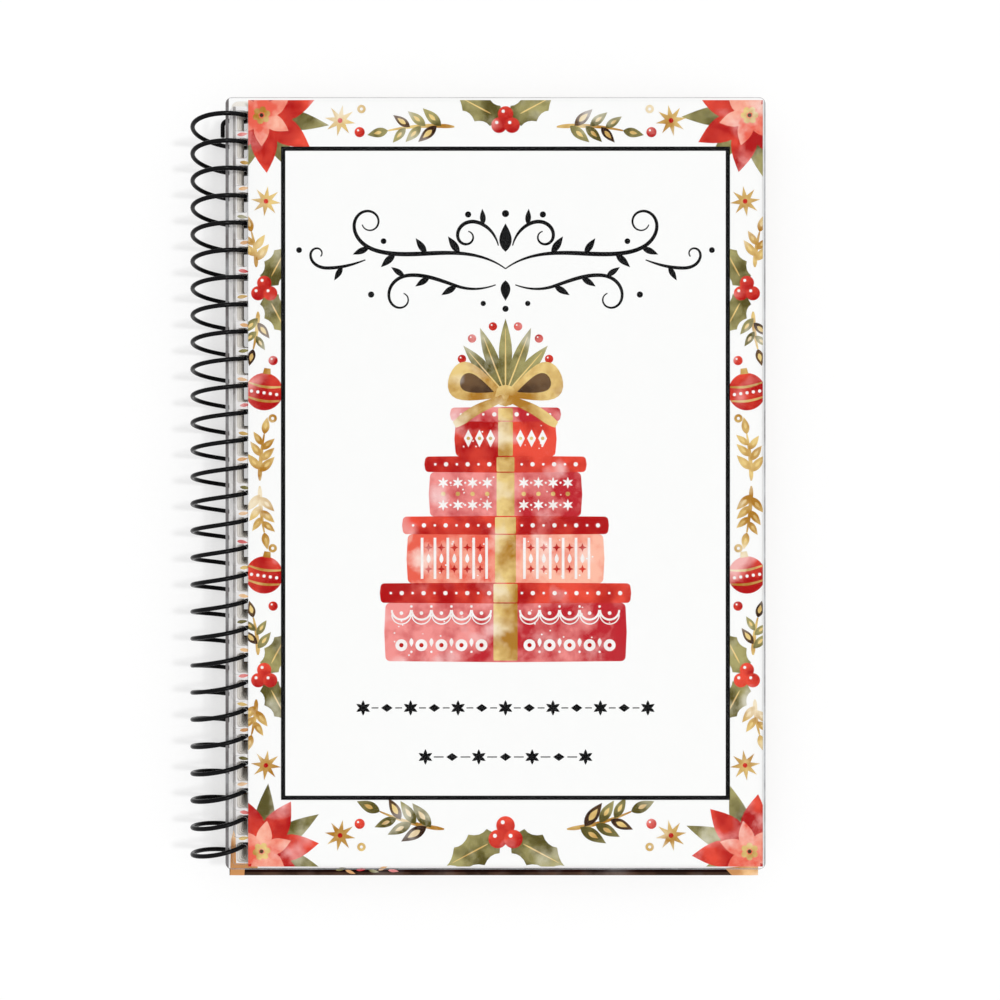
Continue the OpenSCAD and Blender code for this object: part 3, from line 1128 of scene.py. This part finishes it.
def diamonds(art, middle, low, high, half):
    """Upright diamonds with gold hearts."""
    y = (low + high) / 2
    for _, _, x in both_ways(middle, half + 1.7, 2.5, 3):
        art.put(7, "white", diamond(x, y, 1.0, 2.0))
        art.put(8, "gold", dot(x, y, 0.4, 10, tone=0.6))


def parcel(art, middle, foot, width, height, number, ink_name, pattern):
    """One wrapped parcel with its lid, ribbon, pattern and beads. The number counts from the foot."""
    x0, x1 = middle - width / 2, middle + width / 2
    # The lid and the ribbon are smaller on each parcel up
    lid, half = 4.4 - 0.45 * number, 2.7 - 0.35 * number
    top = foot + height
    rim_y = top - lid
    first, last = (0.85, 0.1) if number % 2 else (0.05, 0.95)
    shade = fading((x0, top), (x1, foot), first, last)
    art.add(5, ink_name, band(x0, foot, x1, rim_y, 1.1, 0.25), shade, 0.4)
    lid_ink = "pink" if ink_name == "red" else "red"
    shade = fading((x0, 0), (x1, 0), last, first + 0.2)
    art.add(6, lid_ink, band(x0 - 1.1, rim_y, x1 + 1.1, top, 0.9, 0.15), shade, 0.3)
    shade = fading((middle - half, 0), (middle + half, 0), 0.1, 0.75)
    for low, high, layer in ((foot + 0.15, rim_y - 0.1, 6), (rim_y + 0.1, top - 0.12, 7)):
        art.add(layer, "gold", band(middle - half, low, middle + half, high, 0.25), shade, 0.25)
    pattern(art, middle, foot + 1.6, rim_y - 1.4, half)
    for _ in range(int(width * 0.55)):
        x = art.dice.uniform(x0 + 1.5, x1 - 1.5)
        y = art.dice.uniform(foot + 1.0, rim_y - 0.8)
        if abs(x - middle) > half + 0.6:
            art.put(6, "white", dot(x, y, art.dice.uniform(0.12, 0.22), 8))
    count = int(width / 2.4)
    for s in range(count):
        x = x0 + (s + 0.5) * width / count
        if abs(x - middle) > half + 0.5:
            art.put(7, "white", dot(x, top - lid / 2, 0.5 if s % 2 else 0.3, 12))


def bow(art, x, y):
    """A gold bow with a fan of leaves and berries behind it."""
    base = y + 3.0
    # Leaves as (angle from upright, length, ink), and berries as (angle, distance)
    beside = (((21, 16.0, "olive"), (41, 14.5, "olive"), (61, 12.5, "brown")),
              ((10.5, 15.5), (31, 14.6), (51, 12.6)))
    for side, (leaves, berries) in ((-1, beside), (0, (((0, 17.0, "olive"),), ())), (1, beside)):
        for a, size, ink_name in leaves:
            art.add(5, ink_name, turned(petal(size, 3.0, 1.1), x, base, 90 - side * a), rim=0.2)
            vein = sweep_path((x, base), 90 - side * a, [(size * 0.86, 0, 0)])
            art.put(6, "gold", stroke(vein, 0.34, 0.12, peak=0.3, tone=0.1))
        for a, reach in berries:
            berry_x, berry_y = away(x, base, reach, 90 - side * a)
            art.add(6, "red", disc(berry_x, berry_y, 0.95, 16), 0.7, 0.2)
            art.put(7, "white", dot(berry_x - 0.3, berry_y + 0.3, 0.2, 8))
    for side in (-1, 1):
        bends = [(6.5, side * 3.0, side * -3.0), (6.0, side * -5.0, side * 4.0)]
        tail = sweep_path((x + side * 0.6, y + 2.2), 90 - side * 118, bends)
        shade = fading((x, y + 3), (x + side * 9, y - 7), 0.9, 0.2)
        art.put(8, "gold", stroke(tail, 2.3, 1.5, peak=0.75, tone=shade, rim=0.25))
        loop = turned(lobe(13.4, 8.6), x, y + 2.6, 90 - side * 70)
        art.add(7, "gold", loop, fading((x, y), (x + side * 13, y + 8), 0.95, 0.05), 0.4)
        hollow = turned(lobe(8.0, 4.2), x + side * 2.6, y + 3.5, 90 - side * 69)
        art.add(8, "brown", hollow, fading((x, y), (x + side * 11, y + 6), 1.0, 0.0), 0.15)
    knot = band(x - 2.1, y + 0.5, x + 2.1, y + 4.9, 1.4, 0.25)
    art.add(8, "gold", knot, fading((x - 2, y + 5), (x + 2, y), 0.0, 1.0), 0.35)


def parcels(middle, foot, dice):
    """A stack of wrapped parcels, wide at the foot, with a bow on top."""
    art = Layout(dice)
    # Width, height, ink and pattern, from the foot up
    rows = ((54.0, 17.5, "pink", lace), (44.0, 15.0, "salmon", stripes), (34.0, 13.5, "pink", florets),
            (22.5, 11.0, "red", diamonds))
    for number, (width, height, ink_name, pattern) in enumerate(rows):
        parcel(art, middle, foot, width, height, number, ink_name, pattern)
        foot += height
    bow(art, middle, foot)
    return art


class BOOK_OT_front_card(bpy.types.Operator):
    """Print the front card: border, frame, flourish, parcels and dividers"""

    bl_idname = "book.front_card"
    bl_label = "Printed front card"
    # Edges of the frame as shares of the card, from its low corner
    frame_shares = (0.0638, 0.087, 0.936, 0.9393)
    flourish_share, flourish_span = 0.795, 88.0
    parcel_foot_share = 0.268
    # Height share, span in millimetres and number of places of each divider
    dividers = {"upper": (0.207, 64.0, 13), "lower": (0.143, 36.0, 7)}

    def execute(self, context):
        papers, inks = context.scene.book_paper, context.scene.book_ink
        dice = random.Random(11)
        card = paper_material("front_card_paper", papers.cover, papers.cover_fibre, share=0.06)
        dress("cover_card", card)
        printed = Print("cover_", "cover_card", "front_card")
        width, height = printed.width, printed.height
        border_motifs(width, height, dice).lay(printed, "border")
        corners = [share * size for share, size in zip(self.frame_shares, (width, height) * 2)]
        panel_paper = paper_material("panel_paper", papers.cover, papers.cover_fibre, share=0.05)
        printed.lay("panel", 4, [Shape(box(*corners))], panel_paper)
        printed.lay("frame_line", 5, [box_line(*corners, inks.frame_line / MM)], ink("black"))
        middle = (corners[0] + corners[2]) / 2
        parcels(middle, self.parcel_foot_share * height, dice).lay(printed, "parcels")
        lines = {"flourish": (self.flourish_share, flourish(self.flourish_span))}
        for name, (share, span, places) in self.dividers.items():
            lines["divider_" + name] = (share, divider(span, places))
        for name, (share, shapes) in lines.items():
            for shape in shapes:
                shape.points = turned(shape.points, middle, share * height)
            printed.lay(name, 5, shapes, ink("black"))
        return {"FINISHED"}


# The title page and the leaves


def writing_rules(middle, half_width, top, pitch, count):
    """Thin rules to write on."""
    thickness = 0.22
    rows = (top - pitch * s for s in range(count))
    return [Shape(box(middle - half_width, y, middle + half_width, y + thickness)) for y in rows]


def double_frame(printed, layer, corners, line, gap, hairline):
    """A red line round a box, and a gold hairline inside it."""
    x0, y0, x1, y1 = corners
    inner = box_line(x0 + gap, y0 + gap, x1 - gap, y1 - gap, hairline)
    printed.lay("frame_line", layer, [box_line(x0, y0, x1, y1, line)], ink("red"))
    printed.lay("frame_hairline", layer, [inner], ink("gold"))


def sprig_pair(printed, stem, layer, middle, rise, apart, tilt, size, bend, pairs, leaf_size, rim):
    """Two sprigs that lie left and right of a place: gold stems, and olive leaves on top."""
    stems, leaves = [], []
    for side in (-1, 1):
        start = (middle + side * apart, rise)
        made, outlines = sprig(start, 90 - side * tilt, size, side * bend, pairs, leaf_size)
        stems.append(made)
        leaves += [Shape(outline, tone=0.2 + 0.1 * s, rim=rim) for s, outline in enumerate(outlines)]
    printed.lay(stem + "_stems", layer, stems, ink("gold"))
    printed.lay(stem + "_leaves", layer + 1, leaves, ink("olive"))


class BOOK_OT_title_page(bpy.types.Operator):
    """Print the title page: a brown edge with tan corners, and a generic vignette"""

    bl_idname = "book.title_page"
    bl_label = "Title page"
    # In millimetres: bare rim, edge band, edge line, reach of the corners, and sides of the spine's painted
    # shade line
    bare, edge_band, edge_line, corner_reach = 0.06, 0.75, 0.9, 7.5
    spine_shade_sides = (0.80, 1.45)

    def execute(self, context):
        papers = context.scene.book_paper
        dress("title_page", paper_material("title_paper", papers.title, papers.title_fibre, share=0.10))
        printed = Print("title_", "title_page", "title_paper")
        self.edges(printed, printed.width, printed.height)
        self.margin(printed, context.scene.book_coil)
        self.vignette(printed, printed.width, printed.height)
        return {"FINISHED"}

    def edges(self, printed, width, height):
        bare, band_top, reach = self.bare, self.edge_band, self.corner_reach
        foot = band_top + self.edge_line
        edge = Shape(box(bare, bare, width - bare, band_top + 0.2))
        line = Shape(box(bare, band_top, width - bare, foot), tone=0.6)
        left, right = self.spine_shade_sides
        # The grey line near the spine is painted shade, standing in for the shade along the edges of the
        # stacked sheets
        spine_line = Shape(box(left, foot + 0.1, right, height - bare), tone=0.4)
        printed.lay("edge_band", 0, [edge], ink("umber"))
        printed.lay("edge_line", 1, [line], ink("maroon"))
        printed.lay("spine_line", 0, [spine_line], ink("grey"))
        fore = [(width - bare, bare), (width - bare, reach * 0.7), (width - reach * 0.42, foot + 0.5),
                (width - reach, foot), (width - reach * 0.8, bare)]
        head = [(x, height - y) for x, y in fore][::-1]
        shade = fading((width - reach, 0), (width, 0), 1.1, 0.1)
        corners = [Shape(points, tone=shade, rim=0.25) for points in (fore, head)]
        printed.lay("corners", 2, corners, ink("tan"))
        spine = [(0.2, bare), (3.4, bare), (3.5, foot), (6.4, foot), (6.4, 2.7), (1.55, 2.75),
                 (1.45, 8.5), (1.0, 10.2), (0.45, 8.2)]
        shade = fading((0, 0), (0, 4), 1.3, 0.55)
        printed.lay("spine_corner", 2, [Shape(spine, tone=shade, rim=0.2)], ink("tan"))
        # The print that shows below the front card near the spine
        marks = {"tan": [], "olive": [], "pink": []}
        places = ((24.0, 12), (26.2, -20), (28.6, 8), (31.4, -10), (33.6, 24), (35.8, -6))
        for s, (x, turn) in enumerate(places):
            leaf = turned(petal(2.4, 0.7), x, band_top + self.edge_line * 0.5, turn)
            marks[("olive", "tan", "pink")[s % 3]].append(Shape(leaf, tone=0.6, rim=0.1))
        for name, shapes in marks.items():
            printed.lay("foot_marks_" + name, 2, shapes, ink(name))

    def margin(self, printed, coil):
        """Small leaves on the lands between the holes, which step along the coil with the sheet's height."""
        low, level = printed.low, (printed.low.z + printed.high.z) / 2
        coil_low, coil_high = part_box("coil")
        radius = (coil_high.x - coil_low.x - coil.wire_d) / 2
        step = coil.lead * math.asin((level - (coil_low.z + coil_high.z) / 2) / radius) / math.tau
        middle = (coil_low.y + coil_high.y) / 2 - step
        inks = ("tan", "gold", "pink", "tan", "olive")
        leaves = {name: [] for name in inks}
        for land in range(1, coil.turns):
            x = 1.75 + 0.3 * (land % 3)
            y = (middle + (land - coil.turns / 2) * coil.lead - low.y) / MM
            leaf = turned(petal(2.5, 0.84), x, y, 7 if land % 2 else -8)
            leaves[inks[land % len(inks)]].append(Shape(leaf, tone=0.4, rim=0.12))
        for name, shapes in leaves.items():
            printed.lay("margin_" + name, 0, shapes, ink(name))

    def vignette(self, printed, width, height):
        left, right, foot, head = 11.0, width - 7.0, 9.0, height - 9.0
        middle, rise = (left + right) / 2, height * 0.72
        double_frame(printed, 3, (left, foot, right, head), line=0.5, gap=1.4, hairline=0.2)
        sprig_pair(printed, "vignette", 4, middle, rise, apart=2.5, tilt=84, size=24, bend=-1.2, pairs=5,
                   leaf_size=6.4, rim=0.22)
        berries = [Shape(disc(*away(middle, rise, 2.0, a), 1.9), rim=0.25) for a in (90, 210, 330)]
        printed.lay("vignette_berries", 6, berries, ink("red"))
        printed.lay("rules", 4, writing_rules(middle, 32, height * 0.5, 11.0, 5), ink("umber"))


class BOOK_OT_leaves(bpy.types.Operator):
    """Finish the leaves: card stock, a thin double frame, writing rules and a pair of sprigs"""

    bl_idname = "book.leaves"
    bl_label = "Leaves"

    def execute(self, context):
        papers = context.scene.book_paper
        stock = paper_material("leaf_card", papers.leaf, papers.leaf_fibre, share=0.16, scale=1100.0)
        for node in LEAVES:
            dress(node, stock)
            printed = Print(node + "_", node, "leaf_card")
            left, right, foot, head = 9.0, printed.width - 4.5, 5.0, printed.height - 5.0
            pocket_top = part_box(node.replace("leaf", "pocket"))[1].y
            middle, rise = (left + right) / 2, (pocket_top - printed.low.y) / MM + 12.0
            double_frame(printed, 0, (left, foot, right, head), line=0.45, gap=1.2, hairline=0.18)
            sprig_pair(printed, "sprig", 0, middle, rise, apart=1.2, tilt=88, size=15, bend=-1.8, pairs=4,
                       leaf_size=4.4, rim=0.18)
            printed.lay("sprig_berry", 2, [Shape(disc(middle, rise, 1.4, 18), rim=0.2)], ink("red"))
            printed.lay("rules", 0, writing_rules(middle, 30, rise + 26.0, 8.0, 3), ink("umber"))
        return {"FINISHED"}


class BOOK_OT_back_board(bpy.types.Operator):
    """Finish the kraft back board"""

    bl_idname = "book.back_board"
    bl_label = "Back board"

    def execute(self, context):
        papers = context.scene.book_paper
        dress("back_cover", paper_material(
            "kraft_board", papers.board, papers.board_fibre, share=0.6, scale=1500.0, depth=0.03 * MM
        ))
        return {"FINISHED"}


# The stage


def background_share(tree):
    """1 for rays that show the background: straight from the camera, mirrored or through film."""
    path = tree.nodes.new("ShaderNodeLightPath").outputs
    share = maths(tree, "MAXIMUM", path["Is Camera Ray"], path["Is Glossy Ray"])
    return maths(tree, "MAXIMUM", share, path["Is Transmission Ray"])


class BOOK_OT_stage(bpy.types.Operator):
    """Set the pale floor, the soft light and the camera"""

    bl_idname = "book.stage"
    bl_label = "Stage"

    def execute(self, context):
        scene, settings = context.scene, context.scene.book_stage
        self.floor(scene, settings)
        self.light(scene, settings)
        camera = bpy.data.objects.new("book_camera", bpy.data.cameras.new("book_camera"))
        camera.data.lens = settings.lens
        camera.data.sensor_width = 36.0
        camera.data.clip_start = 0.01
        camera.location = (settings.camera_right, -settings.camera_down, settings.camera_height)
        scene.collection.objects.link(camera)
        scene.camera = camera
        scene.view_settings.view_transform = "Standard"
        return {"FINISHED"}

    def floor(self, scene, settings):
        half = settings.floor_size / 2
        corners = [(x, y, CAD_BOX[0][2]) for x, y in box(-half, -half, half, half)]
        mesh = bpy.data.meshes.new("floor")
        mesh.from_pydata(corners, [], [(0, 1, 2, 3)])
        floor = bpy.data.objects.new("floor", mesh)
        scene.collection.objects.link(floor)
        material, tree, shader = new_material("pale_floor", shine=0.0, roughness=0.9)
        shader.inputs["Base Color"].default_value = (settings.floor,) * 3 + (1,)
        glow = tree.nodes.new("ShaderNodeEmission")
        strength = maths(tree, "MULTIPLY", background_share(tree), 1 - settings.floor)
        feed(tree, glow.inputs["Strength"], strength)
        total = tree.nodes.new("ShaderNodeAddShader")
        feed(tree, total.inputs[0], shader.outputs[0])
        feed(tree, total.inputs[1], glow.outputs[0])
        show(tree, total.outputs[0])
        mesh.materials.append(material)

    def light(self, scene, settings):
        world = bpy.data.worlds.new("pale_room")
        world.use_nodes = True
        scene.world = world
        tree = world.node_tree
        ambient = tree.nodes["Background"]
        ambient.inputs["Color"].default_value = (1, 1, 1, 1)
        strength = maths(tree, "MULTIPLY", background_share(tree), max(1 - settings.ambient, 0))
        feed(tree, ambient.inputs["Strength"], maths(tree, "ADD", strength, settings.ambient))
        sun = bpy.data.objects.new("soft_key", bpy.data.lights.new("soft_key", "SUN"))
        sun.data.energy = math.pi * settings.key / math.sin(settings.sun_elevation)
        sun.data.angle = settings.sun_size
        sun.rotation_euler = (0, math.pi / 2 - settings.sun_elevation, settings.sun_heading)
        scene.collection.objects.link(sun)


STEPS = (
    BOOK_OT_stage, BOOK_OT_coil, BOOK_OT_clear_sheet, BOOK_OT_front_card, BOOK_OT_title_page,
    BOOK_OT_leaves, BOOK_OT_pockets, BOOK_OT_back_board,
)
SETTINGS = {
    "book_coil": CoilSettings, "book_film": FilmSettings, "book_ink": InkSettings,
    "book_paper": PaperSettings, "book_stage": StageSettings,
}


class BOOK_PT_panel(bpy.types.Panel):
    """The steps that finish the book"""

    bl_idname = "BOOK_PT_panel"
    bl_label = "Gift card book"
    bl_space_type = "VIEW_3D"
    bl_region_type = "UI"
    bl_category = "Gift card book"

    def draw(self, context):
        for step in STEPS:
            self.layout.operator(step.bl_idname)
        for name, kind in SETTINGS.items():
            settings = getattr(context.scene, name)
            fields = self.layout.box()
            for label in kind.__annotations__:
                fields.prop(settings, label)


def register():
    for kind in (*SETTINGS.values(), *STEPS, BOOK_PT_panel):
        bpy.utils.register_class(kind)
    for name, kind in SETTINGS.items():
        setattr(bpy.types.Scene, name, PointerProperty(type=kind))


def unregister():
    for name in SETTINGS:
        delattr(bpy.types.Scene, name)
    for kind in reversed((*SETTINGS.values(), *STEPS, BOOK_PT_panel)):
        bpy.utils.unregister_class(kind)


def main():
    register()
    bpy.ops.book.stage()
    bpy.ops.book.coil()
    bpy.ops.book.clear_sheet()
    bpy.ops.book.front_card()
    bpy.ops.book.title_page()
    bpy.ops.book.leaves()
    bpy.ops.book.pockets()
    bpy.ops.book.back_board()


if __name__ == "__main__":
    main()
